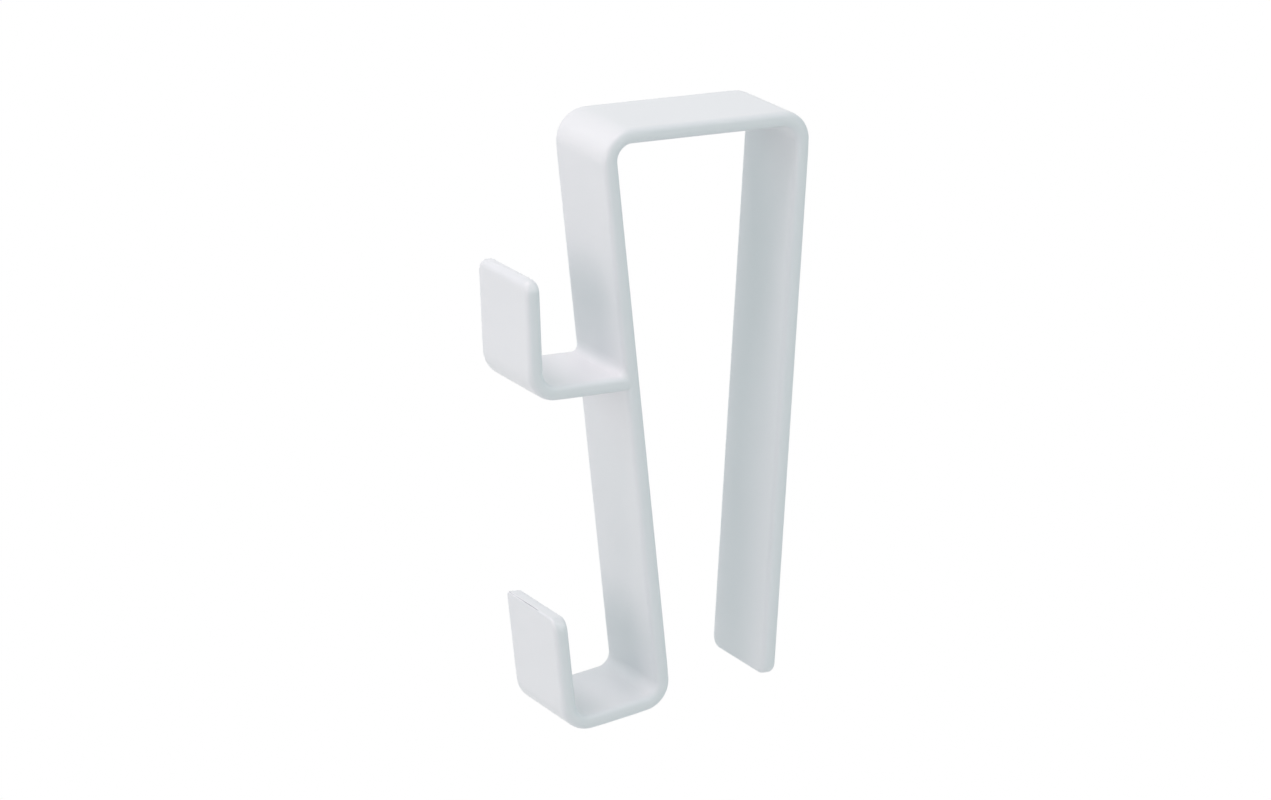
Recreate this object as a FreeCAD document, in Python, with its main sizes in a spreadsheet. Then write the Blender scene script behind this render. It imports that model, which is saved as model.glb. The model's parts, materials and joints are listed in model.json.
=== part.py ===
import FreeCAD, Part
import math
import os
import Sketcher

# Over door hook in white coated flat steel.
# One strap is bent over the top edge of a door: back leg, top bar, front leg and, at the foot of the front
# leg, a square hook. A second strap, bent to a J, is welded to the face of the front leg.
# Frame: +X across the strap, +Y towards the back of the door, +Z up; both hooks are on the -Y side.
# Origin: middle of the underside of the top bar, which sits on the door's top edge.

# Driving dimensions in millimetres and degrees. A leg's length runs from the sharp corner that its door
# side makes with the underside of the top bar. The bar is rolled flat from round stock, so its long edges
# are round: a narrow flat is all that is left between their two roundings.
SIZES = [
    ("strap_width", 20.0, "width of the flat bar"),
    ("strap_thickness", 3.0, "thickness of the flat bar"),
    ("bend_radius", 3.0, "inside radius of the bends"),
    ("heel_radius", 2.5, "inside radius of the tighter bend at the foot of the front leg"),
    ("edge_flat", 0.2, "flat left in the middle of a long edge, between its roundings"),
    ("edge_radius", "=(strap_thickness - edge_flat) / 2", "rounding of the long edges and of the ends"),
    ("corner_radius", 2.5, "corners of the ends, seen on the strap's face"),
    ("door_gap", 39.0, "space between the legs under the top bar"),
    ("front_lean", 8.0, "front leg leans towards the door, degrees"),
    ("back_lean", 1.7, "back leg leans towards the door, degrees"),
    ("back_leg_length", 110.0, "length of the back leg"),
    ("front_leg_length", 113.5, "length of the front leg, down to the underside of the lower hook"),
    ("lower_throat", 17.5, "space between the front leg and the tip of the lower hook"),
    ("lower_tip_height", 21.0, "height of the lower hook's tip above its floor"),
    ("upper_drop", 45.0, "depth of the upper hook's floor below the top bar"),
    ("upper_throat", 17.3, "length of the upper hook's floor, from the leg to the tip"),
    ("upper_tip_lean", 4.0, "upper hook's tip leans away from the door, degrees"),
    ("upper_tip_height", 21.0, "height of the upper hook's tip above its floor"),
    ("weld_on_leg", 2.6, "height of the weld above the upper hook's floor, along the leg"),
    ("weld_on_floor", 1.9, "reach of that weld over the floor"),
    ("weld_hollow", 3.0, "radius of that weld's hollow face"),
    ("root_weld", 0.9, "size of the weld under the upper hook's floor"),
    ("root_hollow", 1.2, "radius of that weld's hollow face"),
    ("weld_end_radius", 0.3, "rounding of the ends of the weld above the floor"),
]

X_AXIS = -1
ORIGIN = -1
START = 1
END = 2
CENTRE = 3


def make_sheet(doc):
    sheet = doc.addObject("Spreadsheet::Sheet", "Sizes")
    for row, (name, value, note) in enumerate(SIZES, start=1):
        sheet.set("A%d" % row, name)
        sheet.set("B%d" % row, str(value))
        sheet.set("C%d" % row, note)
        sheet.setAlias("B%d" % row, name)
    doc.recompute()
    return sheet


def heading(degrees):
    # Unit vector in the plane of the side view, turned from +Y towards +Z.
    angle = math.radians(degrees)
    return FreeCAD.Vector(math.cos(angle), math.sin(angle), 0)


def left_of(direction):
    return FreeCAD.Vector(-direction.y, direction.x, 0)


def side_sketch(body, name):
    # Sketch on the plane of symmetry: sketch x is +Y, sketch y is +Z.
    sketch = body.newObject("Sketcher::SketchObject", name)
    plane = [item for item in body.Origin.OriginFeatures if item.Role == "YZ_Plane"][0]
    sketch.AttachmentSupport = [(plane, "")]
    sketch.MapMode = "FlatFace"
    return sketch


def dimension(sketch, name, constraint, expression):
    index = sketch.addConstraint(constraint)
    sketch.renameConstraint(index, name)
    sketch.setExpression("Constraints." + name, expression)


def crossing(point_a, heading_a, point_b, heading_b):
    # Where two straight lines of the side view meet.
    spread = heading_a.x * heading_b.y - heading_a.y * heading_b.x
    gap = point_b - point_a
    return point_a + heading_a * ((gap.x * heading_b.y - gap.y * heading_b.x) / spread)


def draw_face(sketch, corners, radii):
    # One face of the bent bar in side view: straight runs between the corners, joined by tangent arcs.
    # A positive radius turns left, a negative one right. Returns the lines and the arcs.
    starts = [corners[0]]
    ends = []
    arcs = []
    for before, corner, after, radius in zip(corners, corners[1:], corners[2:], radii):
        arriving = (corner - before).normalize()
        leaving = (after - corner).normalize()
        reach = abs(radius) * math.tan(arriving.getAngle(leaving) / 2)
        touch_in = corner - arriving * reach
        touch_out = corner + leaving * reach
        centre = touch_in + left_of(arriving) * radius
        first, last = (touch_in, touch_out) if radius > 0 else (touch_out, touch_in)
        circle = Part.Circle(centre, FreeCAD.Vector(0, 0, 1), abs(radius))
        arcs.append(Part.ArcOfCircle(circle, circle.parameter(first), circle.parameter(last)))
        ends.append(touch_in)
        starts.append(touch_out)
    ends.append(corners[-1])
    lines = [sketch.addGeometry(Part.LineSegment(a, b)) for a, b in zip(starts, ends)]
    bends = [sketch.addGeometry(arc) for arc in arcs]
    for number, (bend, radius) in enumerate(zip(bends, radii)):
        entry, leave = (START, END) if radius > 0 else (END, START)
        sketch.addConstraint(Sketcher.Constraint("Tangent", lines[number], END, bend, entry))
        sketch.addConstraint(Sketcher.Constraint("Tangent", bend, leave, lines[number + 1], START))
    return lines, bends


def draw_strap(sketch, corners, bends, size):
    # Side view of a bent strap, from the sharp corners of its left face. A bend is its turn, +1 to the left
    # or -1 to the right, and the name of its inside radius. The right face is the left one moved by the
    # thickness.
    headings = [(after - before).normalize() for before, after in zip(corners, corners[1:])]
    shifts = [left_of(way) * -size["strap_thickness"] for way in headings]
    opposite = [corners[0] + shifts[0]]
    for number in range(1, len(corners) - 1):
        before = corners[number] + shifts[number - 1]
        after = corners[number] + shifts[number]
        opposite.append(crossing(before, headings[number - 1], after, headings[number]))
    opposite.append(corners[-1] + shifts[-1])

    radii = []
    for turn, name in bends:
        inner, outer = size[name], size[name] + size["strap_thickness"]
        radii.append((inner, outer) if turn > 0 else (-outer, -inner))
    left, left_bends = draw_face(sketch, corners, [pair[0] for pair in radii])
    right, right_bends = draw_face(sketch, opposite, [pair[1] for pair in radii])
    for number, (turn, name) in enumerate(bends):
        tight, wide = left_bends[number], right_bends[number]
        if turn < 0:
            tight, wide = wide, tight
        inner, outer = size[name], size[name] + size["strap_thickness"]
        sketch.addConstraint(Sketcher.Constraint("Coincident", tight, CENTRE, wide, CENTRE))
        dimension(sketch, "bend_%d_inside" % number, Sketcher.Constraint("Radius", tight, inner),
                  "Sizes." + name)
        dimension(sketch, "bend_%d_outside" % number, Sketcher.Constraint("Radius", wide, outer),
                  "Sizes.%s + Sizes.strap_thickness" % name)
    return left, right


def close_end(sketch, left_line, right_line, position):
    # The end of a strap, from its left face to its right face.
    points = [sketch.getPoint(line, position) for line in (left_line, right_line)]
    cap = sketch.addGeometry(Part.LineSegment(points[0], points[1]))
    sketch.addConstraint(Sketcher.Constraint("Coincident", cap, START, left_line, position))
    sketch.addConstraint(Sketcher.Constraint("Coincident", cap, END, right_line, position))
    return cap


def sharp_corner(sketch, point, line_a, line_b):
    # The point where two faces would meet if the bend between them were sharp.
    corner = sketch.addGeometry(Part.Point(point), True)
    sketch.addConstraint(Sketcher.Constraint("PointOnObject", corner, START, line_a))
    sketch.addConstraint(Sketcher.Constraint("PointOnObject", corner, START, line_b))
    return corner


def pad_across(body, sketch, name, length):
    pad = body.newObject("PartDesign::Pad", name)
    pad.Profile = sketch
    pad.Midplane = True
    pad.setExpression("Length", length)
    body.Document.recompute()
    return pad


def round_edges(body, base, name, edges, radius):
    fillet = body.newObject("PartDesign::Fillet", name)
    fillet.Base = (base, edges)
    fillet.setExpression("Radius", radius)
    body.Document.recompute()
    return fillet


def edges_along(shape, direction, length):
    # Straight edges that run in one direction with the given length.
    found = []
    for number, edge in enumerate(shape.Edges, start=1):
        way = edge.tangentAt(edge.FirstParameter)
        if abs(edge.Length - length) < 1e-4 and way.cross(direction).Length < 1e-6:
            found.append("Edge%d" % number)
    return found


def sharp_edges(shape):
    # Edges whose two faces meet at an angle. Those where a flat runs smoothly into a bend are left out.
    found = []
    for number, edge in enumerate(shape.Edges, start=1):
        middle = edge.valueAt((edge.FirstParameter + edge.LastParameter) / 2)
        normals = []
        for face in shape.ancestorsOfType(edge, Part.Face):
            normals.append(face.normalAt(*face.Surface.parameter(middle)))
        if len(normals) == 2 and normals[0].cross(normals[1]).Length > 0.1:
            found.append("Edge%d" % number)
    return found


def edges_on_leg(shape, root, down):
    # Edges that lie on the face of the front leg, where the hook is welded.
    normal = FreeCAD.Vector(0, left_of(down).x, left_of(down).y)
    point = FreeCAD.Vector(0, root.x, root.y)
    found = []
    for number, edge in enumerate(shape.Edges, start=1):
        if all(abs((vertex.Point - point).dot(normal)) < 1e-4 for vertex in edge.Vertexes):
            found.append("Edge%d" % number)
    return found


def make_door_strap(doc, size):
    body = doc.addObject("PartDesign::Body", "door_strap")
    sketch = side_sketch(body, "strap_side")
    half_gap = size["door_gap"] / 2
    up_back = heading(90 - size["back_lean"])
    down_front = heading(size["front_lean"] - 90)
    out = heading(size["front_lean"] - 180)
    back_corner = FreeCAD.Vector(half_gap, 0, 0)
    front_corner = FreeCAD.Vector(-half_gap, 0, 0)
    floor_corner = front_corner + down_front * size["front_leg_length"]
    tip_corner = floor_corner + out * (size["lower_throat"] + 2 * size["strap_thickness"])
    corners = [
        back_corner - up_back * size["back_leg_length"],
        back_corner,
        front_corner,
        floor_corner,
        tip_corner,
        tip_corner - down_front * (size["lower_tip_height"] + size["strap_thickness"]),
    ]
    bends = [(1, "bend_radius"), (1, "bend_radius"), (-1, "heel_radius"), (-1, "bend_radius")]
    # The left face is the one against the door, and further on the outside of the lower hook.
    left, right = draw_strap(sketch, corners, bends, size)
    back_leg, top_bar, front_leg, floor, tip = left

    back = sharp_corner(sketch, back_corner, back_leg, top_bar)
    front = sharp_corner(sketch, front_corner, top_bar, front_leg)
    foot = sharp_corner(sketch, floor_corner, front_leg, floor)
    sketch.addConstraint(Sketcher.Constraint("Horizontal", top_bar))
    sketch.addConstraint(Sketcher.Constraint("Symmetric", front, START, back, START, ORIGIN, START))
    sketch.addConstraint(Sketcher.Constraint("Perpendicular", front_leg, floor))
    sketch.addConstraint(Sketcher.Constraint("Parallel", front_leg, tip))
    sketch.addConstraint(Sketcher.Constraint("Parallel", back_leg, right[0]))
    sketch.addConstraint(Sketcher.Constraint("Parallel", tip, right[-1]))
    dimension(sketch, "gap",
              Sketcher.Constraint("DistanceX", front, START, back, START, size["door_gap"]),
              "Sizes.door_gap")
    dimension(sketch, "back_angle",
              Sketcher.Constraint("Angle", back_leg, math.radians(90 - size["back_lean"])),
              "90 - Sizes.back_lean")
    dimension(sketch, "front_angle",
              Sketcher.Constraint("Angle", front_leg, math.radians(size["front_lean"] - 90)),
              "Sizes.front_lean - 90")
    dimension(sketch, "back_length",
              Sketcher.Constraint("Distance", back, START, back_leg, START, size["back_leg_length"]),
              "Sizes.back_leg_length")
    dimension(sketch, "front_length",
              Sketcher.Constraint("Distance", front, START, foot, START, size["front_leg_length"]),
              "Sizes.front_leg_length")
    dimension(sketch, "throat",
              Sketcher.Constraint("Distance", right[-1], END, right[2], size["lower_throat"]),
              "Sizes.lower_throat")
    dimension(sketch, "tip_height",
              Sketcher.Constraint("Distance", right[-1], END, right[3], size["lower_tip_height"]),
              "Sizes.lower_tip_height")
    back_end = close_end(sketch, left[0], right[0], START)
    tip_end = close_end(sketch, left[-1], right[-1], END)
    sketch.addConstraint(Sketcher.Constraint("Perpendicular", back_end, back_leg))
    sketch.addConstraint(Sketcher.Constraint("Perpendicular", tip_end, tip))
    doc.recompute()

    bar = pad_across(body, sketch, "strap_bar", "Sizes.strap_width")
    ends = []
    for direction in (left_of(up_back), left_of(down_front)):
        across = FreeCAD.Vector(0, direction.x, direction.y)
        ends += edges_along(bar.Shape, across, size["strap_thickness"])
    blank = round_edges(body, bar, "strap_corners", ends, "Sizes.corner_radius")
    round_edges(body, blank, "strap_edges", sharp_edges(blank.Shape), "Sizes.edge_radius")
    return body


def draw_leg_face(sketch, size, drop, drop_expression):
    # Construction line on the face of the front leg, from the level of the top bar's underside down to a
    # given drop.
    lean = size["front_lean"]
    down = heading(lean - 90)
    level_thickness = size["strap_thickness"] / math.cos(math.radians(lean))
    top = FreeCAD.Vector(-size["door_gap"] / 2 - level_thickness, 0, 0)
    foot = top + down * (drop / -down.y)
    line = sketch.addGeometry(Part.LineSegment(top, foot), True)
    sketch.addConstraint(Sketcher.Constraint("PointOnObject", line, START, X_AXIS))
    dimension(sketch, "leg_face_top", Sketcher.Constraint("DistanceX", line, START, ORIGIN, START, -top.x),
              "Sizes.door_gap / 2 + Sizes.strap_thickness / cos(Sizes.front_lean * 1deg)")
    dimension(sketch, "leg_face_angle", Sketcher.Constraint("Angle", line, math.radians(lean - 90)),
              "Sizes.front_lean - 90")
    dimension(sketch, "leg_face_drop", Sketcher.Constraint("DistanceY", line, END, ORIGIN, START, drop),
              drop_expression)
    return line, foot, down


def make_upper_hook(doc, size):
    body = doc.addObject("PartDesign::Body", "upper_hook")
    sketch = side_sketch(body, "hook_side")
    leg_face, root, down = draw_leg_face(sketch, size, size["upper_drop"], "Sizes.upper_drop")
    out = heading(180)
    up = heading(90 + size["upper_tip_lean"])
    throat_corner = root + out * size["upper_throat"]
    # The left face is the underside of the floor, and further on the outside of the tip.
    under = root + left_of(out) * size["strap_thickness"]
    outside_foot = throat_corner + left_of(up) * size["strap_thickness"]
    corners = [
        crossing(under, out, root, down),
        crossing(under, out, outside_foot, up),
        outside_foot + up * size["upper_tip_height"],
    ]
    left, right = draw_strap(sketch, corners, [(-1, "bend_radius")], size)
    underside, outside = left
    floor, inside = right

    throat = sharp_corner(sketch, throat_corner, floor, inside)
    sketch.addConstraint(Sketcher.Constraint("Coincident", leg_face, END, floor, START))
    sketch.addConstraint(Sketcher.Constraint("PointOnObject", underside, START, leg_face))
    sketch.addConstraint(Sketcher.Constraint("Horizontal", floor))
    sketch.addConstraint(Sketcher.Constraint("Horizontal", underside))
    sketch.addConstraint(Sketcher.Constraint("Parallel", inside, outside))
    dimension(sketch, "throat",
              Sketcher.Constraint("Distance", throat, START, floor, START, size["upper_throat"]),
              "Sizes.upper_throat")
    dimension(sketch, "tip_angle",
              Sketcher.Constraint("Angle", inside, math.radians(90 + size["upper_tip_lean"])),
              "90 + Sizes.upper_tip_lean")
    dimension(sketch, "tip_height",
              Sketcher.Constraint("Distance", throat, START, inside, END, size["upper_tip_height"]),
              "Sizes.upper_tip_height")
    close_end(sketch, underside, floor, START)
    tip_end = close_end(sketch, outside, inside, END)
    sketch.addConstraint(Sketcher.Constraint("Perpendicular", tip_end, inside))
    doc.recompute()

    bar = pad_across(body, sketch, "hook_bar", "Sizes.strap_width")
    across_tip = FreeCAD.Vector(0, left_of(up).x, left_of(up).y)
    ends = edges_along(bar.Shape, across_tip, size["strap_thickness"])
    blank = round_edges(body, bar, "hook_corners", ends, "Sizes.corner_radius")
    welded_end = edges_on_leg(blank.Shape, root, down)
    edges = [name for name in sharp_edges(blank.Shape) if name not in welded_end]
    round_edges(body, blank, "hook_edges", edges, "Sizes.edge_radius")
    return body


def make_weld(doc, size, name, drop, drop_expression, on_leg, on_floor, hollow, above):
    # Fillet weld in the corner between the leg's face and the hook's floor, as long as the flats of both.
    # Its two toes lie on the leg and on the floor, and its hollow face runs between them.
    body = doc.addObject("PartDesign::Body", name)
    sketch = side_sketch(body, name + "_section")
    leg_face, root, down = draw_leg_face(sketch, size, drop, drop_expression)
    toe_on_leg = root + down * (-size[on_leg] if above else size[on_leg])
    toe_on_floor = root + heading(180) * size[on_floor]
    leg_side = sketch.addGeometry(Part.LineSegment(root, toe_on_leg))
    floor_side = sketch.addGeometry(Part.LineSegment(root, toe_on_floor))

    chord = toe_on_leg - toe_on_floor
    away = left_of(chord).normalize() * (1 if above else -1)
    stand_off = math.sqrt(size[hollow] ** 2 - (chord.Length / 2) ** 2)
    centre = (toe_on_leg + toe_on_floor) / 2 + away * stand_off
    circle = Part.Circle(centre, FreeCAD.Vector(0, 0, 1), size[hollow])
    first, last = (toe_on_floor, toe_on_leg) if above else (toe_on_leg, toe_on_floor)
    face = sketch.addGeometry(Part.ArcOfCircle(circle, circle.parameter(first), circle.parameter(last)))
    first_side, last_side = (floor_side, leg_side) if above else (leg_side, floor_side)

    sketch.addConstraint(Sketcher.Constraint("Coincident", leg_face, END, leg_side, START))
    sketch.addConstraint(Sketcher.Constraint("Coincident", leg_side, START, floor_side, START))
    sketch.addConstraint(Sketcher.Constraint("Coincident", face, START, first_side, END))
    sketch.addConstraint(Sketcher.Constraint("Coincident", face, END, last_side, END))
    sketch.addConstraint(Sketcher.Constraint("PointOnObject", leg_side, END, leg_face))
    sketch.addConstraint(Sketcher.Constraint("Horizontal", floor_side))
    dimension(sketch, "on_leg", Sketcher.Constraint("Distance", leg_side, size[on_leg]), "Sizes." + on_leg)
    dimension(sketch, "on_floor", Sketcher.Constraint("Distance", floor_side, size[on_floor]),
              "Sizes." + on_floor)
    dimension(sketch, "hollow", Sketcher.Constraint("Radius", face, size[hollow]), "Sizes." + hollow)
    doc.recompute()

    pad_across(body, sketch, name + "_bead", "Sizes.strap_width - 2 * Sizes.edge_radius")
    return body


def round_weld_ends(body):
    bead = body.Tip
    ends = []
    for number, edge in enumerate(bead.Shape.Edges, start=1):
        if isinstance(edge.Curve, Part.Circle):
            ends.append("Edge%d" % number)
    round_edges(body, bead, body.Label + "_ends", ends, "Sizes.weld_end_radius")


def check_objects(doc):
    for item in doc.Objects:
        if "Invalid" in item.State or "Error" in item.State:
            raise RuntimeError("failed: " + item.Name)


def write_parts(bodies):
    os.makedirs("parts", exist_ok=True)
    for body in bodies:
        if body.Shape.isNull() or not body.Shape.isValid() or len(body.Shape.Solids) != 1:
            raise RuntimeError("bad shape: " + body.Label)
    for body in bodies:
        body.Shape.exportStep("parts/%s.step" % body.Label)
        print(body.Label, round(body.Shape.Volume, 1), "mm3")


def main():
    doc = FreeCAD.newDocument("over_door_hook")
    sheet = make_sheet(doc)
    size = {name: float(sheet.get(name)) for name, value, note in SIZES}
    door_strap = make_door_strap(doc, size)
    upper_hook = make_upper_hook(doc, size)
    weld_above = make_weld(doc, size, "weld_above", size["upper_drop"], "Sizes.upper_drop",
                           "weld_on_leg", "weld_on_floor", "weld_hollow", True)
    round_weld_ends(weld_above)
    weld_below = make_weld(doc, size, "weld_below", size["upper_drop"] + size["strap_thickness"],
                           "Sizes.upper_drop + Sizes.strap_thickness", "root_weld", "root_weld",
                           "root_hollow", False)
    doc.recompute()
    check_objects(doc)
    write_parts([door_strap, upper_hook, weld_above, weld_below])


main()
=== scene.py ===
import json
import math

import bmesh
import bpy
import numpy as np
from mathutils import Matrix, Vector


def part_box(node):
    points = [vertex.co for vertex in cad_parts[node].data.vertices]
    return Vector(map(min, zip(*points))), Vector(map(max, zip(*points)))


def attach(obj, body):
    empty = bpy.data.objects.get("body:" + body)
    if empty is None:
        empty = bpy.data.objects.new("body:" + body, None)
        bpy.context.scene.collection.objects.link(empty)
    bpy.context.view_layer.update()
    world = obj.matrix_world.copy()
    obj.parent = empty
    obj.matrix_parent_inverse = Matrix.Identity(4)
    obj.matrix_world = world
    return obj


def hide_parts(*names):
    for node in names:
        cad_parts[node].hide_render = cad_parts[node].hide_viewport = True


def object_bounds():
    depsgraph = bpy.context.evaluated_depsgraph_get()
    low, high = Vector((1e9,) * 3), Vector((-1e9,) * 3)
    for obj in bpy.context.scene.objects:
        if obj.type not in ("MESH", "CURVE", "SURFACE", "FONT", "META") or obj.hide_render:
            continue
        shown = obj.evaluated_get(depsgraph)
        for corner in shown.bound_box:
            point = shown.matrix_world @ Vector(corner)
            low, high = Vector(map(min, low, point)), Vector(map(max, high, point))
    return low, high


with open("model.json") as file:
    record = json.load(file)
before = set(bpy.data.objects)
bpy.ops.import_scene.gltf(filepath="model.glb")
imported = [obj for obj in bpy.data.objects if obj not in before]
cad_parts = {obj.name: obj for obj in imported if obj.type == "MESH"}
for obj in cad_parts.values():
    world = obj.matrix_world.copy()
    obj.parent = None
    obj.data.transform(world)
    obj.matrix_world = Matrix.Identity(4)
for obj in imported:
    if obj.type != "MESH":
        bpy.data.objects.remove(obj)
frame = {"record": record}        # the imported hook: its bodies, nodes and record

# Over door hook: one bent strap and a J hook welded to its front leg, all in white powder coat.
# +X across the strap, +Y towards the back of the door, +Z up, metres. Side view means (y, z).
mm = 0.001
scene = bpy.context.scene
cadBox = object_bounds()
mounts = {mount["name"]: mount for mount in frame["record"]["mounts"]}
strapLow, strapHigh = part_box("door_strap")
strapWidth = strapHigh.x - strapLow.x
strapThickness = strapHigh.z    # the top bar's underside is at the origin
print("frame: strap", round(strapWidth / mm, 2), "x", round(strapThickness / mm, 2), "mm")


# Side view of the bars

def turnedLeft(vector):
    return np.array([-vector[1], vector[0]])


def sideLine(mountName):
    # The straight line of a mount's face in side view: (point, way), with the bar on the left of its way.
    mount = mounts[mountName]
    return np.array(mount["pos_m"][1:]), turnedLeft(mount["axis"][1:])


def moved(line, distance):
    # The line moved to the left of its way.
    point, way = line
    return point + distance * turnedLeft(way), way


def crossing(lineA, lineB):
    # The point of A that lies on B: from A's point by (gap x B's way) / (A's way x B's way).
    (pointA, wayA), (pointB, wayB) = lineA, lineB
    spread = wayA[0] * wayB[1] - wayA[1] * wayB[0]
    gap = pointB - pointA
    return pointA + wayA * (gap[0] * wayB[1] - gap[1] * wayB[0]) / spread


def unit(vector):
    return vector / np.linalg.norm(vector)


def bentPath(corners, insideRadii):
    # Middle line of a bar: straight runs joined by arcs. At a corner that turns by T, an arc of radius R
    # starts R*tan(T/2) before the corner and is R*T long.
    ways = [unit(after - before) for before, after in zip(corners, corners[1:])]
    runs = []
    position = corners[0]
    for number, insideRadius in enumerate(insideRadii):
        arriving, leaving = ways[number], ways[number + 1]
        turn = math.atan2(arriving[0] * leaving[1] - arriving[1] * leaving[0], arriving @ leaving)
        radius = insideRadius + strapThickness / 2
        reach = radius * math.tan(abs(turn) / 2)
        bendStart = corners[number + 1] - arriving * reach
        heading = math.atan2(arriving[1], arriving[0])
        runs.append((position, heading, np.linalg.norm(bendStart - position), 0.0))
        runs.append((bendStart, heading, radius * abs(turn), math.copysign(1 / radius, turn)))
        position = corners[number + 1] + leaving * reach
    lastWay = ways[-1]
    runs.append((position, math.atan2(lastWay[1], lastWay[0]), np.linalg.norm(corners[-1] - position), 0.0))
    lengths = np.array([run[2] for run in runs])
    return {
        "points": np.array([run[0] for run in runs]),
        "headings": np.array([run[1] for run in runs]),
        "curves": np.array([run[3] for run in runs]),    # one over the radius, positive to the left
        "starts": np.concatenate([[0.0], np.cumsum(lengths)[:-1]]),
        "lengths": lengths,
        "length": lengths.sum(),
    }


def alongPath(path, distance, height):
    # Side view place of points at a distance along the path and a height to the left of it. A run's chord is
    # distance*sin(half)/half long and heads half its turn to the side; half is 0 on a straight run.
    run = np.clip(np.searchsorted(path["starts"], distance, side="right") - 1, 0, len(path["starts"]) - 1)
    local = distance - path["starts"][run]
    half = path["curves"][run] * local / 2
    chord = local * np.sinc(half / np.pi)
    toward = path["headings"][run] + half
    heading = toward + half
    y = path["points"][run, 0] + chord * np.cos(toward) - height * np.sin(heading)
    z = path["points"][run, 1] + chord * np.sin(toward) + height * np.cos(heading)
    return y, z


def bendShare(path, distance, fade):
    # 1 in a left bend and -1 in a right one, falling to 0 beside it as 3rr - 2rrr, where r is the share of
    # the fade length that is still left.
    share = np.zeros_like(distance)
    for start, length, curve in zip(path["starts"], path["lengths"], path["curves"]):
        outside = np.maximum(start - distance, distance - start - length)
        ramp = np.clip(1 - outside / fade, 0, 1)
        share += np.sign(curve) * ramp * ramp * (3 - 2 * ramp)
    return share


# Skin of a bent bar

skinGrid = {
    "straightStep": 1.3 * mm,       # from row to row along the bar
    "bendStep": 0.2 * mm,
    "endMargin": 0.39 * mm,         # no row stands nearer than this to the corner of an end
    "acrossFace": 16,               # columns across a face, closer at its edges
    "edgeSteps": 7,                 # facets in a quarter of an edge's rounding
    "cornerSteps": 9,               # facets in a corner of an end
    "mergeDistance": 0.002 * mm,    # points nearer than this become one
    "sharpAngle": math.radians(50),
}
barFinish = {
    "dent": 0.020 * mm,      # how far the rolled faces wave inwards
    "dentLength": 13.0 * mm,
    "bendPinch": 0.14 * mm,  # how much narrower the stretched side of a bend is, at each edge
    "pinchFade": 2.5 * mm,   # how far beside a bend it runs out
    "squareness": 2.8,       # 2 for long edges that are round as a circle, more for squarer ones
}
waveShape = {
    "waves": 7,
    "shortest": 0.7,         # share of the wave length asked for; the longest is 1 more
    "phaseSpan": 7.0,        # radians, a little over a whole turn
}


def gentleWave(along, across, waveLength, seed):
    # Between 0 and 1: the mean of several sine waves that cross the face at random headings and lengths.
    draws = np.random.default_rng(seed).random((waveShape["waves"], 3))
    total = np.zeros_like(along)
    for turn, stretch, phase in draws:
        heading = turn * 2 * np.pi
        crossed = along * math.cos(heading) + across * math.sin(heading)
        length = waveLength * (waveShape["shortest"] + stretch)
        total += np.sin(2 * np.pi * crossed / length + phase * waveShape["phaseSpan"])
    return 0.5 + 0.5 * total / waveShape["waves"]


def stationsBetween(path, first, last):
    # Distances along the path at which the skin has a row: closer together in the bends.
    marks = []
    for start, length, curve in zip(path["starts"], path["lengths"], path["curves"]):
        step = skinGrid["bendStep"] if curve else skinGrid["straightStep"]
        steps = max(1, math.ceil(length / step))
        marks.append(start + length * np.arange(steps) / steps)
    marks = np.concatenate(marks)
    return marks[(marks > first + skinGrid["endMargin"]) & (marks < last - skinGrid["endMargin"])]


# The outline of the flat blank, less its edge rounding, has five rows: the place along, the place across, the
# outward way along and across, and the rounding.

def straightSide(bar, along):
    # Straight stretch of a long side, at places along the blank.
    values = strapWidth / 2 - bar["edgeRadius"], 0.0, 1.0, bar["edgeRadius"]
    return np.stack([along] + [np.full_like(along, value) for value in values])


def blankCorner(path, side, bar, last):
    # Corner of an end, from the end round to the side. At an angle A it lies R*(1 - cos A) in from the end
    # and R*(1 - sin A) in from the side, and its rounding r goes over from the end's to the side's by the
    # square of sin A. Less that rounding it stands r*cos A and r*sin A further in.
    number, origin, inwards = (-1, path["length"], -1) if last else (0, 0.0, 1)
    end = bar["ends"][number]
    if end is None:
        return straightSide(bar, np.array([origin]))
    radius = end["cornerRadii"][side]
    angle = np.linspace(0, np.pi / 2, skinGrid["cornerSteps"] + 1)
    rounding = end["edgeRadius"] + (bar["edgeRadius"] - end["edgeRadius"]) * np.sin(angle) ** 2
    inset = radius + (rounding - radius) * np.cos(angle)
    sideInset = radius + (rounding - radius) * np.sin(angle)
    outAlong = -inwards * np.cos(angle)
    return np.stack([origin + inwards * inset, strapWidth / 2 - sideInset, outAlong, np.sin(angle), rounding])


def blankSide(path, side, bar, stations):
    # Long side from the first end to the last: side 0 is the left one, at -X, and side 1 the right one.
    outline = np.concatenate([
        blankCorner(path, side, bar, last=False),
        straightSide(bar, stations),
        blankCorner(path, side, bar, last=True)[:, ::-1],
    ], axis=1)
    outline[[1, 3]] *= 1 if side else -1
    return outline


def faceGrid(left, right):
    # Places along and across of a face's points: straight rows from one long side to the other, at shares of
    # the way that go by (1 + sin A)/2 for even angles A.
    share = (1 + np.sin(np.linspace(-np.pi / 2, np.pi / 2, skinGrid["acrossFace"] + 1))) / 2
    return [left[row][:, None] * (1 - share) + right[row][:, None] * share for row in (0, 1)]


def blankEnd(bar, faceAlong, faceAcross, last):
    # The outline along an end between its two corners: leftwards at the last end, rightwards at the first.
    number, step = (-1, -1) if last else (0, 1)
    end = bar["ends"][number]
    along, across = (face[number, 1:-1][::step] for face in (faceAlong, faceAcross))
    still = np.zeros_like(across)
    if end is None:
        return np.stack([along, across, still, still, still])
    return np.stack([along, across, still - step, still, still + end["edgeRadius"]])


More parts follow.
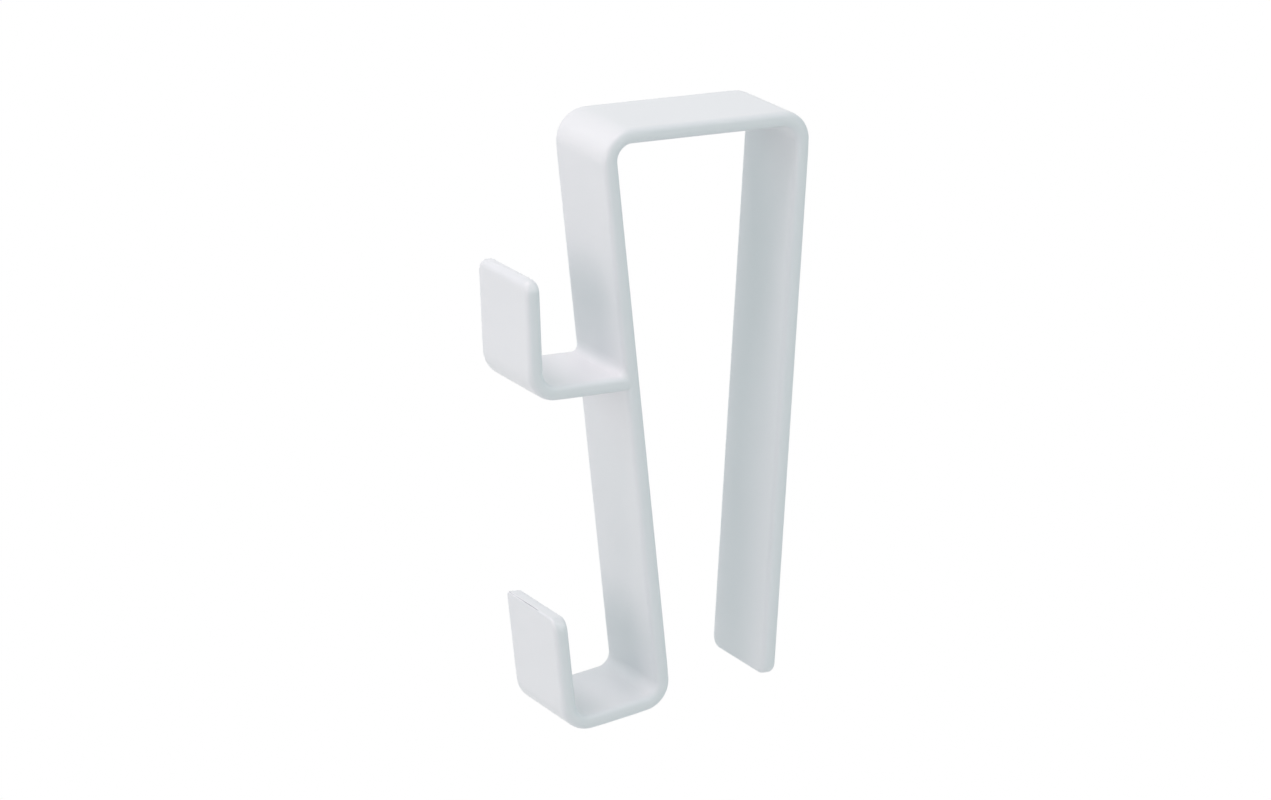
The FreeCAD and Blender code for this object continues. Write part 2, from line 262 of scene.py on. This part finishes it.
def squareCorner(bar, side):
    # Where a square start meets a long side, the corner is there twice: rounded for the side and plain for
    # the end.
    if bar["ends"][0] is not None:
        return np.zeros((5, 0))
    return side[:, :1] * np.array([1, 1, 0, 0, 0])[:, None]


def blankOutline(bar, left, right, faceAlong, faceAcross):
    # Once round the blank: along its right side, over its last end, back along its left side, over its first.
    return np.concatenate([
        right,
        blankEnd(bar, faceAlong, faceAcross, last=True),
        left[:, ::-1],
        squareCorner(bar, left),
        blankEnd(bar, faceAlong, faceAcross, last=False),
        squareCorner(bar, right),
    ], axis=1)


def hairlineShare(line, outline, over):
    # Share of the hairline on a sheared first end: exp(-((angle - its angle)/width)^2), along the end only,
    # uneven, and fading out across the bar.
    across, outAlong = outline[1], outline[2]
    run = np.clip(-outAlong, 0, 1) * np.clip((line["stop"] - across) / line["fade"], 0, 1)
    wave = gentleWave(across, across * 0, line["waveLength"], line["seed"])
    run *= 1 + line["unevenness"] * (2 * wave - 1)
    return run[:, None] * np.exp(-((over - line["angle"]) / line["width"]) ** 2)


def barEdge(bar, outline):
    # The bar's edge: a grid that goes round the blank's outline. At an angle A over the rounding it stands
    # R*sin A out of the outline and r - R*cos A below the face. R is the rounding r at an end, and
    # r * (sin^n A + cos^n A)^(-1/n) on a long side, with the squareness n. A hairline lies its depth lower.
    quarter = np.linspace(0, np.pi / 2, skinGrid["edgeSteps"] + 1)
    over = np.concatenate([quarter, quarter + np.pi / 2])
    halfSign = np.repeat([1, -1], len(quarter))
    outAlong, outAcross, rounding = outline[2:, :, None]
    power = 2 + (barFinish["squareness"] - 2) * outAcross ** 2
    reach = rounding * (np.sin(over) ** power + np.abs(np.cos(over)) ** power) ** (-1 / power)
    share = np.broadcast_to(np.abs(np.sin(2 * over)), reach.shape)
    if bar["shearLine"]:
        hairline = hairlineShare(bar["shearLine"], outline, over)
        reach = reach - hairline * bar["shearLine"]["depth"]
        # A share above 1 marks the hairline, where the coat is painted dark as shade.
        share = np.maximum(share, 2 * hairline)
    stand = reach * np.sin(over)
    along = outline[0][:, None] + outAlong * stand
    across = outline[1][:, None] + outAcross * stand
    height = halfSign * (strapThickness / 2 - rounding) + reach * np.cos(over)
    return along, across, height, share


def bentOver(path, bar, along, across, height):
    # The blank's points laid on the path. Its faces wave inwards, by height * (1 - dent * wave), and on the
    # stretched side of a bend it is narrower, by across * (1 - pinch / half the width).
    halfThickness = strapThickness / 2
    wave = [gentleWave(along, across, barFinish["dentLength"], bar["seed"] + face) for face in range(2)]
    dent = barFinish["dent"] / halfThickness
    squeezed = height * (1 - dent * np.where(height > 0, *wave))
    outer = np.clip(-height / halfThickness * bendShare(path, along, barFinish["pinchFade"]), 0, 1)
    narrowed = across * (1 - (outer * barFinish["bendPinch"] + bar["sideTrim"]) / (strapWidth / 2))
    y, z = alongPath(path, along, squeezed)
    return np.stack([narrowed, y, z], axis=1)


def gridQuads(rows, columns, firstIndex, closed=False):
    # Quads of a grid of points that were laid out row by row; closed joins the last row to the first.
    index = firstIndex + np.arange(rows * columns).reshape(rows, columns)
    if closed:
        index = np.vstack([index, index[:1]])
    corners = index[:-1, :-1], index[1:, :-1], index[1:, 1:], index[:-1, 1:]
    return np.stack(corners, axis=-1).reshape(-1, 4)


def barSkin(path, bar, fitStart):
    # Skin of a bar cut from flat stock and bent along the path: a grid for each face and one for the edge.
    # The edge share is 0 on the faces, 1 on the middle of a rounding, and up to 2 on a hairline, which is
    # painted dark as shade.
    margins = [0.0 if end is None else max(end["cornerRadii"]) for end in bar["ends"]]
    stations = stationsBetween(path, margins[0], path["length"] - margins[1])
    left, right = (blankSide(path, side, bar, stations) for side in (0, 1))
    faceAlong, faceAcross = faceGrid(left, right)
    faceHeight = np.full_like(faceAlong, strapThickness / 2)
    noShare = np.zeros_like(faceAlong)
    edge = barEdge(bar, blankOutline(bar, left, right, faceAlong, faceAcross))
    topFace = faceAlong, faceAcross, faceHeight, noShare
    bottomFace = faceAlong, faceAcross, -faceHeight, noShare
    grids = zip(topFace, bottomFace, edge)
    along, across, height, edgeShare = (np.concatenate([part.ravel() for part in grid]) for grid in grids)
    quads = np.concatenate([
        gridQuads(*faceAlong.shape, 0)[:, ::-1],
        gridQuads(*faceAlong.shape, faceAlong.size),
        gridQuads(*edge[0].shape, 2 * faceAlong.size, closed=True),
    ])
    points = bentOver(path, bar, fitStart(along, across, height), across, height)
    return points, quads, edgeShare


def addPiece(name, skin, node, material):
    # The mesh of a piece: seams and poles are closed, faces point outwards, and a cut's corners stay sharp.
    points, quads, edgeShare = skin
    mesh = bpy.data.meshes.new(name)
    mesh.from_pydata(points.tolist(), [], quads.tolist())
    layer = mesh.attributes.new("edgeShare", "FLOAT", "POINT")
    layer.data.foreach_set("value", edgeShare.astype(np.float32))
    closed = bmesh.new()
    closed.from_mesh(mesh)
    bmesh.ops.remove_doubles(closed, verts=closed.verts, dist=skinGrid["mergeDistance"])
    bmesh.ops.recalc_face_normals(closed, faces=closed.faces)
    closed.to_mesh(mesh)
    closed.free()
    mesh.shade_smooth()
    mesh.set_sharp_from_angle(angle=skinGrid["sharpAngle"])
    mesh.materials.append(material)
    piece = bpy.data.objects.new(name, mesh)
    scene.collection.objects.link(piece)
    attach(piece, "root")
    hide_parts(node)
    print(name, len(mesh.polygons), "faces")


# White powder coat

powderCoat = {
    "colour": (0.82, 0.828, 0.85, 1.0),
    "edgeColour": (0.78, 0.797, 0.825, 1.0),    # where the coat thins over the rounded edges
    "hairlineShadeColour": (0.25, 0.24, 0.27, 1.0),      # painted shade: dark grey in the hairline groove
    "refraction": 1.5,
    "roughness": (0.34, 0.42),
    "cloudScale": 55.0,      # clouds of thickness and gloss in a metre
    "cloudDetail": 3.0,
    "cloudRange": (0.3, 0.7),       # values of the clouds that give the two ends of the roughness
    "peelScale": 620.0,      # waves of orange peel in a metre
    "peelHeight": 0.012 * mm,
    "grainScale": 3200.0,
    "grainHeight": 0.0025 * mm,
    "bumpDetail": 1.5,       # how much finer noise the peel and the grain carry
}


def ranged(tree, value, source, target=(0.0, 1.0)):
    # A node that carries the value from the source range to the target range.
    node = tree.nodes.new("ShaderNodeMapRange")
    node.inputs["From Min"].default_value, node.inputs["From Max"].default_value = source
    node.inputs["To Min"].default_value, node.inputs["To Max"].default_value = target
    tree.links.new(value, node.inputs["Value"])
    return node


def makeCoatMaterial():
    # Semi-gloss powder coat: an even cool white, a little greyer where it thins over the rounded edges, with
    # orange peel from slow noise and a fine grain on top. The hairline groove is painted dark grey as shade.
    material = bpy.data.materials.new("whitePowderCoat")
    material.use_nodes = True
    tree = material.node_tree
    tree.nodes.clear()
    add = tree.nodes.new
    link = tree.links.new
    output = add("ShaderNodeOutputMaterial")
    shader = add("ShaderNodeBsdfPrincipled")
    link(shader.outputs["BSDF"], output.inputs["Surface"])
    shader.inputs["IOR"].default_value = powderCoat["refraction"]

    place = add("ShaderNodeTexCoord")
    cloud = add("ShaderNodeTexNoise")
    cloud.inputs["Scale"].default_value = powderCoat["cloudScale"]
    cloud.inputs["Detail"].default_value = powderCoat["cloudDetail"]
    link(place.outputs["Object"], cloud.inputs["Vector"])

    edge = add("ShaderNodeAttribute")
    edge.attribute_name = "edgeShare"
    thin = add("ShaderNodeMath")        # strongest on the middle of the rounding
    thin.operation = "MULTIPLY"
    link(edge.outputs["Fac"], thin.inputs[0])
    link(cloud.outputs["Fac"], thin.inputs[1])
    tone = add("ShaderNodeMix")
    tone.data_type = "RGBA"
    tone.inputs["A"].default_value = powderCoat["colour"]
    tone.inputs["B"].default_value = powderCoat["edgeColour"]
    link(thin.outputs["Value"], tone.inputs["Factor"])
    hairlineShade = ranged(tree, edge.outputs["Fac"], (1.0, 2.0))    # painted shade in the hairline, where the share goes above 1
    coat = add("ShaderNodeMix")
    coat.data_type = "RGBA"
    coat.inputs["B"].default_value = powderCoat["hairlineShadeColour"]
    link(hairlineShade.outputs["Result"], coat.inputs["Factor"])
    link(tone.outputs["Result"], coat.inputs["A"])
    link(coat.outputs["Result"], shader.inputs["Base Color"])

    gloss = ranged(tree, cloud.outputs["Fac"], powderCoat["cloudRange"], powderCoat["roughness"])
    link(gloss.outputs["Result"], shader.inputs["Roughness"])

    normal = None
    for scaleName, heightName in (("peelScale", "peelHeight"), ("grainScale", "grainHeight")):
        noise = add("ShaderNodeTexNoise")
        noise.inputs["Scale"].default_value = powderCoat[scaleName]
        noise.inputs["Detail"].default_value = powderCoat["bumpDetail"]
        link(place.outputs["Object"], noise.inputs["Vector"])
        bump = add("ShaderNodeBump")
        bump.inputs["Strength"].default_value = 1.0
        bump.inputs["Distance"].default_value = powderCoat[heightName]
        link(noise.outputs["Fac"], bump.inputs["Height"])
        if normal:
            link(normal, bump.inputs["Normal"])
        normal = bump.outputs["Normal"]
    link(normal, shader.inputs["Normal"])
    return material


coatMaterial = makeCoatMaterial()
print("white powder coat")

# Door strap: lower hook, front leg, top bar, back leg

doorStrap = {
    "lowerTipHeight": 21.0 * mm,    # above the lower hook's floor
    "lowerThroat": 17.5 * mm,
    "backLegLength": 110.0 * mm,    # from the sharp inside corner under the top bar
    "insideRadii": (3.0 * mm, 2.5 * mm, 3.0 * mm, 3.0 * mm),    # in the order of the path
    "edgeRadius": 1.4 * mm,
    "sideTrim": 0.0,
    "ends": (
        {"edgeRadius": 0.45 * mm, "cornerRadii": (1.4 * mm, 2.5 * mm)},     # lower tip; radii at -X and +X
        {"edgeRadius": 1.0 * mm, "cornerRadii": (2.5 * mm, 2.5 * mm)},     # back leg's foot
    ),
    "shearLine": {           # a shallow groove along the lower tip's end at the shear's burr, with painted shade in it
        "depth": 0.12 * mm,
        "angle": math.radians(122),     # round the end from the face on the leg's side
        "width": math.radians(14),
        "stop": 4.5 * mm,    # where it ends, having begun at the corner at -X
        "fade": 2.0 * mm,
        "unevenness": 0.4,   # share by which it comes and goes along the end
        "waveLength": 8.0 * mm,
        "seed": 16,
    },
    "cutRise": 0.65 * mm,    # how far the end's front border stands above its rear one
    "cutLevel": 1 / 3,       # share of the way from the rear to the front at which the cut keeps its height
    "cutReach": 5.0 * mm,    # how far down the tip the slant shifts the rows
    "seed": 11,
}
frontFace = sideLine("front_leg_door_face")
legFace = moved(frontFace, strapThickness)    # the front leg's face away from the door


def slantCut(along, across, height):
    # The lower tip was sheared a little out of square: the front of its end reaches further than its rear.
    # The shift is rise * (share of the way to the front, less the level) and runs out over the reach.
    front = 0.5 - height / strapThickness
    share = np.clip(1 - along / doorStrap["cutReach"], 0, 1)
    return along - doorStrap["cutRise"] * (front - doorStrap["cutLevel"]) * share


def makeDoorStrap():
    middle = strapThickness / 2
    topFace = sideLine("door_top_seat")
    backFace = sideLine("back_leg_door_face")
    floorFace = sideLine("lower_hook_floor")
    tipLine = moved(legFace, doorStrap["lowerThroat"] + middle)
    floorLine = moved(floorFace, middle)
    frontLine = moved(frontFace, middle)
    topLine = moved(topFace, middle)
    backLine = moved(backFace, middle)
    backFoot = crossing(topFace, backFace) + backFace[1] * doorStrap["backLegLength"]
    path = bentPath([
        crossing(tipLine, moved(floorFace, -doorStrap["lowerTipHeight"])),
        crossing(tipLine, floorLine),
        crossing(floorLine, frontLine),
        crossing(frontLine, topLine),
        crossing(topLine, backLine),
        backFoot + turnedLeft(backFace[1]) * middle,
    ], doorStrap["insideRadii"])
    addPiece("doorStrap", barSkin(path, doorStrap, slantCut), "door_strap", coatMaterial)


makeDoorStrap()

# Upper hook: a J of the same bar, its root cut to fit the face and the rounded edges of the front leg

upperHook = {
    "throat": 17.3 * mm,
    "tipHeight": 21.0 * mm,
    "tipLean": math.radians(4),     # away from the door
    "insideRadii": (3.0 * mm,),
    "edgeRadius": 1.4 * mm,
    "sideTrim": 0.02 * mm,          # so that its sides run into the leg's rounded edges
    "ends": (None, {"edgeRadius": 1.4 * mm, "cornerRadii": (2.5 * mm, 2.5 * mm)}),  # the root is cut square
    "shearLine": None,
    "rootSeat": 0.03 * mm,          # how far the root sits in the leg's coat
    "rootFit": 4.0 * mm,            # the stretch of floor over which the fitted root runs out
    "seed": 29,
}
hookFloor = sideLine("upper_hook_floor")


def edgeFall(across, edgeRadius):
    # How far a face has fallen back at a place across the bar: r * (1 - (1 - d^n)^(1/n)), where d is how far
    # the place lies beyond the flat of the face, as a share of the rounding r, and n is the squareness.
    beyond = np.clip((np.abs(across) - strapWidth / 2) / edgeRadius + 1, 0, 1)
    power = barFinish["squareness"]
    return edgeRadius * (1 - (1 - beyond ** power) ** (1 / power))


def fitToLeg(along, across, height):
    # Moves the root to the leg's face, which leans, and into the fall of the leg's rounded edges.
    lean = legFace[1]
    onLeg = height * lean[0] / lean[1] - edgeFall(across, doorStrap["edgeRadius"]) / lean[1]
    share = np.clip(1 - along / upperHook["rootFit"], 0, 1)
    return along + (onLeg - upperHook["rootSeat"]) * share


def makeUpperHook():
    middle = strapThickness / 2
    throatCorner = crossing(legFace, hookFloor) + hookFloor[1] * upperHook["throat"]
    upTip = np.array([-math.sin(upperHook["tipLean"]), math.cos(upperHook["tipLean"])])
    tipLine = moved((throatCorner, upTip), middle)
    floorLine = moved(hookFloor, middle)
    path = bentPath([
        crossing(legFace, floorLine),
        crossing(floorLine, tipLine),
        tipLine[0] + upTip * upperHook["tipHeight"],
    ], upperHook["insideRadii"])
    addPiece("upperHook", barSkin(path, upperHook, fitToLeg), "upper_hook", coatMaterial)


makeUpperHook()

# Welds above and below the upper hook's floor

weldAbove = {
    "side": 1,               # of the floor: 1 for above it, -1 for below it
    "onLeg": 2.6 * mm,
    "onFloor": 1.9 * mm,
    "unevenness": 0.16,      # share by which the toes come and go along the weld
    "rippleLength": 6.0 * mm,
    "seed": 41,
}
weldBelow = {
    "side": -1,
    "onLeg": 1.0 * mm,
    "onFloor": 0.9 * mm,
    "unevenness": 0.2,
    "rippleLength": 5.0 * mm,
    "seed": 43,
}
weldShape = {
    "fullness": 0.1,         # 0 for a face that runs tangentially into both bars
    "toeSink": 0.02 * mm,    # how far the toes lie under the bars' coat
    "rootSink": 0.12 * mm,
    "endTaper": 0.2,         # share by which a weld is smaller at its ends
    "taperPower": 4,         # more for a weld that keeps its size nearer to its ends
    "endPower": 12,          # more for blunter ends
    "endGap": 0.08 * mm,     # between a weld's ends and the bars' sides
    "flatSteps": 40,         # sections over the flat of the leg's face
    "endSteps": 14,          # and over each of its rounded edges
    "faceSteps": 14,         # from toe to toe
}


def weldStations():
    # Places across the bars at which a weld has a section: evenly over the flat of the leg's face, and over
    # its rounded edges by r*sin A beyond that flat, for even angles A.
    flatHalf = strapWidth / 2 - doorStrap["edgeRadius"]
    reach = doorStrap["edgeRadius"] - weldShape["endGap"]
    angle = np.linspace(0, np.pi / 2, weldShape["endSteps"] + 1)[1:]
    rounded = flatHalf + reach * np.sin(angle)
    flat = np.linspace(-flatHalf, flatHalf, weldShape["flatSteps"] + 1)
    return np.concatenate([-rounded[::-1], flat, rounded])


def weldSkin(weld):
    # Skin of a hollow weld in the corner between the leg and the floor. At each place across the bars the two
    # faces meet at a corner C, fallen back where their edges are rounded. With toes L on the leg and F on the
    # floor and a middle M = C + fullness*(L - C + F - C), the skin is the curve (1-s)(1-s)L + 2s(1-s)M + ssF.
    # With u from 0 in the middle of a weld to 1 at its ends, its size goes by
    # (1 - taper * u^p) * sqrt(1 - u^q), where p is the taper's power and q the ends'.
    side = weld["side"]
    floorLine = hookFloor if side > 0 else moved(hookFloor, strapThickness)
    across = weldStations()
    fall = edgeFall(across, doorStrap["edgeRadius"])[:, None] + weldShape["toeSink"]
    corner = crossing(legFace, floorLine)
    perLegFall = crossing(moved(legFace, -1), floorLine) - corner       # for each metre of the leg's fall
    perFloorFall = crossing(legFace, moved(floorLine, side)) - corner   # and for each of the floor's
    corners = corner + fall * (perLegFall + perFloorFall)

    u = np.abs(across) / across[-1]
    taper = 1 - weldShape["endTaper"] * u ** weldShape["taperPower"]
    taper = taper * np.sqrt(1 - u ** weldShape["endPower"])
    waves = [gentleWave(across, across * 0, weld["rippleLength"], weld["seed"] + toe) for toe in range(2)]
    onLeg, onFloor = ((taper * (1 + weld["unevenness"] * (2 * wave - 1)))[:, None] for wave in waves)
    legToe = corners + legFace[1] * side * weld["onLeg"] * onLeg
    floorToe = corners + floorLine[1] * weld["onFloor"] * onFloor
    middle = corners + weldShape["fullness"] * (legToe + floorToe - 2 * corners)
    s = np.linspace(0, 1, weldShape["faceSteps"] + 1)[:, None, None]
    face = (1 - s) ** 2 * legToe + 2 * s * (1 - s) * middle + s ** 2 * floorToe
    inwards = side * turnedLeft(floorLine[1]) - turnedLeft(legFace[1])
    root = corners + weldShape["rootSink"] * taper[:, None] * inwards
    section = np.concatenate([face, root[None], face[:1]]).transpose(1, 0, 2)
    x = np.repeat(across[:, None], section.shape[1], axis=1)
    points = np.stack([x, section[..., 0], section[..., 1]], axis=-1).reshape(-1, 3)
    return points, gridQuads(*x.shape, 0), np.zeros(len(points))


addPiece("weldAbove", weldSkin(weldAbove), "weld_above", coatMaterial)
addPiece("weldBelow", weldSkin(weldBelow), "weld_below", coatMaterial)

# Floor, room and lamps

stage = {
    "floorDrop": 0.10,       # below the hook's lowest point, so that the hook hangs clear of it
    "floorHalf": 6.0,
    "floorColour": (0.80, 0.80, 0.80, 1.0),
    "floorLift": 0.25,       # glow that only the camera and reflections see: the lit floor reads white
    "floorFade": (0.05, 0.20),      # from here to here the floor runs out into the plain white room
    "roomLevel": 0.435,
    "roomColour": (0.77, 1.0, 0.985, 1.0),
}
lamps = {                    # angles in degrees; a larger lamp of the same level is a fainter highlight
    "keySoftbox": {"azimuth": 0, "elevation": 70, "level": 0.47, "size": 0.6, "colour": (1.0, 0.82, 0.845)},
    "frontSoftbox": {"azimuth": 8, "elevation": 4, "level": 0.325, "size": 0.8, "colour": (1.0, 0.82, 0.84)},
    "sideFill": {"azimuth": 120, "elevation": 25, "level": 0.235, "size": 1.2, "colour": (1.0, 0.98, 1.0)},
    "leftFill": {"azimuth": -45, "elevation": 30, "level": 0.088, "size": 0.6, "colour": (0.85, 0.95, 1.0)},
}
lampDistance = 1.2
hookMiddle = (cadBox[0] + cadBox[1]) / 2


def seenNotLit(tree):
    # 1 for the rays of the camera, of reflections and of glass, 0 for the light that falls on things.
    rays = tree.nodes.new("ShaderNodeLightPath")
    seen = rays.outputs["Is Camera Ray"]
    for name in ("Is Glossy Ray", "Is Transmission Ray"):
        either = tree.nodes.new("ShaderNodeMath")
        either.operation = "MAXIMUM"
        tree.links.new(seen, either.inputs[0])
        tree.links.new(rays.outputs[name], either.inputs[1])
        seen = either.outputs["Value"]
    return seen


def timesSeen(tree, value):
    # The value, a number or a node's output, where a ray is seen and 0 where it lights.
    product = tree.nodes.new("ShaderNodeMath")
    product.operation = "MULTIPLY"
    tree.links.new(seenNotLit(tree), product.inputs[0])
    if isinstance(value, float):
        product.inputs[1].default_value = value
    else:
        tree.links.new(value, product.inputs[1])
    return product.outputs["Value"]


def makeFloorMaterial():
    # Matte and pale, and lit by the lamps, so that it keeps the hook's shadow. Further out it fades to white.
    material = bpy.data.materials.new("paleFloor")
    material.use_nodes = True
    tree = material.node_tree
    tree.nodes.clear()
    add = tree.nodes.new
    link = tree.links.new
    matte = add("ShaderNodeBsdfDiffuse")
    matte.inputs["Color"].default_value = stage["floorColour"]
    glow = add("ShaderNodeEmission")
    link(timesSeen(tree, stage["floorLift"]), glow.inputs["Strength"])
    lit = add("ShaderNodeAddShader")
    link(matte.outputs["BSDF"], lit.inputs[0])
    link(glow.outputs["Emission"], lit.inputs[1])

    place = add("ShaderNodeTexCoord")
    reach = add("ShaderNodeVectorMath")
    reach.operation = "LENGTH"
    link(place.outputs["Object"], reach.inputs[0])
    fade = ranged(tree, reach.outputs["Value"], stage["floorFade"])
    fade.interpolation_type = "SMOOTHSTEP"
    white = add("ShaderNodeEmission")
    runOut = add("ShaderNodeMixShader")
    link(timesSeen(tree, fade.outputs["Result"]), runOut.inputs["Fac"])
    link(lit.outputs["Shader"], runOut.inputs[1])
    link(white.outputs["Emission"], runOut.inputs[2])
    link(runOut.outputs["Shader"], add("ShaderNodeOutputMaterial").inputs["Surface"])
    return material


def makeFloor():
    half = stage["floorHalf"]
    corners = [(-half, -half, 0), (half, -half, 0), (half, half, 0), (-half, half, 0)]
    mesh = bpy.data.meshes.new("floor")
    mesh.from_pydata(corners, [], [(0, 1, 2, 3)])
    mesh.materials.append(makeFloorMaterial())
    floor = bpy.data.objects.new("floor", mesh)
    floor.location.z = strapLow.z - stage["floorDrop"]
    scene.collection.objects.link(floor)


def makeRoom():
    # Even cool light from all round, behind which the camera and reflections see plain white.
    room = bpy.data.worlds.new("paleRoom")
    room.use_nodes = True
    scene.world = room
    tree = room.node_tree
    tree.nodes.clear()
    light = tree.nodes.new("ShaderNodeBackground")
    light.inputs["Color"].default_value = stage["roomColour"]
    light.inputs["Strength"].default_value = stage["roomLevel"]
    white = tree.nodes.new("ShaderNodeBackground")
    white.inputs["Color"].default_value = (1.0, 1.0, 1.0, 1.0)
    choose = tree.nodes.new("ShaderNodeMixShader")
    tree.links.new(seenNotLit(tree), choose.inputs["Fac"])
    tree.links.new(light.outputs["Background"], choose.inputs[1])
    tree.links.new(white.outputs["Background"], choose.inputs[2])
    tree.links.new(choose.outputs["Shader"], tree.nodes.new("ShaderNodeOutputWorld").inputs["Surface"])


def wayFrom(azimuth, elevation):
    # The way out from the hook at these angles. Azimuth turns from the front (-Y) towards +X.
    outward = math.cos(elevation)
    return np.array([math.sin(azimuth) * outward, -math.cos(azimuth) * outward, math.sin(elevation)])


def makeLamps():
    # Soft boxes round the hook. A small lamp of pi*pi*d*d watts at a distance d lights a white face turned to
    # it to a value of 1, and a larger lamp a little less. A level is a share of that.
    for name, lamp in lamps.items():
        way = Vector(wayFrom(math.radians(lamp["azimuth"]), math.radians(lamp["elevation"])))
        light = bpy.data.lights.new(name, "AREA")
        light.size = lamp["size"]
        light.energy = lamp["level"] * (math.pi * lampDistance) ** 2
        light.color = lamp["colour"]
        softbox = bpy.data.objects.new(name, light)
        softbox.location = hookMiddle + way * lampDistance
        softbox.rotation_euler = way.to_track_quat("Z", "Y").to_euler()
        scene.collection.objects.link(softbox)


makeFloor()
makeRoom()
makeLamps()
print("stage: floor, room and lamps")

# Camera at the photograph's angle

camera = {
    "azimuth": math.radians(60.235),
    "elevation": math.radians(17.174),
    "roll": math.radians(1.711),
    "distance": 970.9 * mm,
    "aim": (0.0, 0.0, -60.0 * mm),
    "aimShift": (-7.12 * mm, 5.38 * mm),    # right and up in the picture, to place the hook in it
    "lens": 143.42,
    "sensorWidth": 36.0,
}


def makeCamera():
    data = bpy.data.cameras.new("camera")
    data.sensor_width = camera["sensorWidth"]
    data.lens = camera["lens"]
    body = bpy.data.objects.new("camera", data)
    scene.collection.objects.link(body)
    scene.camera = body
    back = wayFrom(camera["azimuth"], camera["elevation"])
    right = np.array([math.cos(camera["azimuth"]), math.sin(camera["azimuth"]), 0.0])
    up = np.cross(back, right)
    cosRoll, sinRoll = math.cos(camera["roll"]), math.sin(camera["roll"])
    right, up = cosRoll * right + sinRoll * up, cosRoll * up - sinRoll * right
    across, upward = camera["aimShift"]
    place = np.array(camera["aim"]) + across * right + upward * up + camera["distance"] * back
    matrix = np.eye(4)
    matrix[:3] = np.stack([right, up, back, place], axis=1)
    body.matrix_world = Matrix(matrix.tolist())


makeCamera()
scene.view_settings.view_transform = "Standard"
print("camera")
